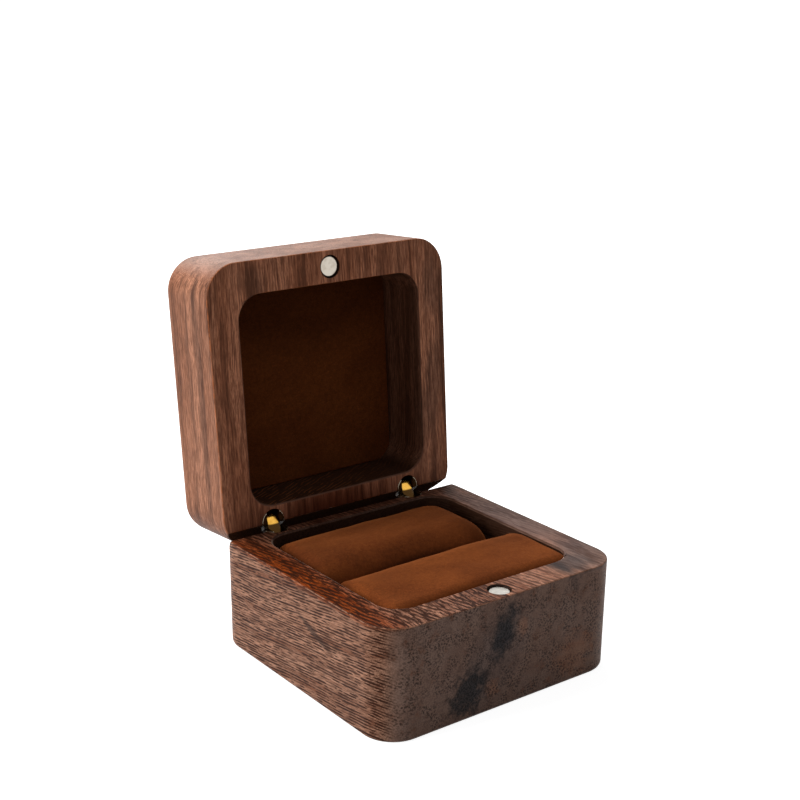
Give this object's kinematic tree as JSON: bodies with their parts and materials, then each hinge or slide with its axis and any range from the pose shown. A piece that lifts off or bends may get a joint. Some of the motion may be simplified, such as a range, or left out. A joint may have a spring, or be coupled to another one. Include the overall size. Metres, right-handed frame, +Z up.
{
  "type": "ring display box",
  "caption": "Square wooden ring box with a hinged lid held open past upright, a magnetic closure and a suede cushion of paired rolls with a slot for the ring.",
  "frame": {"origin": "middle of the underside of the base, on the surface that the box stands on", "axes": "+Z up, +Y from the front of the box to its hinges, +X to the right as seen from the front"},
  "size_m": [0.05, 0.0654, 0.0672],
  "materials": {
    "walnut": "satin",
    "brass": "polished",
    "magnet": "satin",
    "suede": "matte",
    "board": "matte",
    "foam": "matte"
  },
  "bodies": {
    "base": {"base_block": "walnut", "base_magnet": "magnet", "left_base_barrel": "brass", "left_base_pin": "brass", "right_base_barrel": "brass", "right_base_pin": "brass", "cushion_board": "board", "front_foam": "foam", "front_cover": "suede", "back_foam": "foam", "back_cover": "suede"},
    "left_links": {"left_plate_outer": "brass", "left_plate_middle": "brass", "left_plate_inner": "brass"},
    "right_links": {"right_plate_inner": "brass", "right_plate_middle": "brass", "right_plate_outer": "brass"},
    "lid": {"lid_block": "walnut", "lid_magnet": "magnet", "left_lid_barrel": "brass", "left_lid_pin": "brass", "right_lid_barrel": "brass", "right_lid_pin": "brass", "liner_board": "board", "liner_suede": "suede"}
  },
  "joints": [
    {"name": "left_link_swing", "type": "hinge", "parent": "base", "child": "left_links", "pos_m": [-0.015, 0.02142, 0.0186], "axis": [1, 0, 0], "range_deg": [0, 40.5]},
    {"name": "right_link_swing", "type": "hinge", "parent": "base", "child": "right_links", "pos_m": [0.015, 0.02142, 0.0186], "axis": [1, 0, 0], "range_deg": [0, 40.5]},
    {"name": "lid_swing", "type": "hinge", "parent": "left_links", "child": "lid", "pos_m": [-0.015, 0.02334, 0.02084], "axis": [1, 0, 0], "range_deg": [0, 54]}
  ],
  "couplings": [
    {"joint": "left_link_swing", "follows": "lid_swing", "ratio": 0.75},
    {"joint": "right_link_swing", "follows": "lid_swing", "ratio": 0.75}
  ]
}
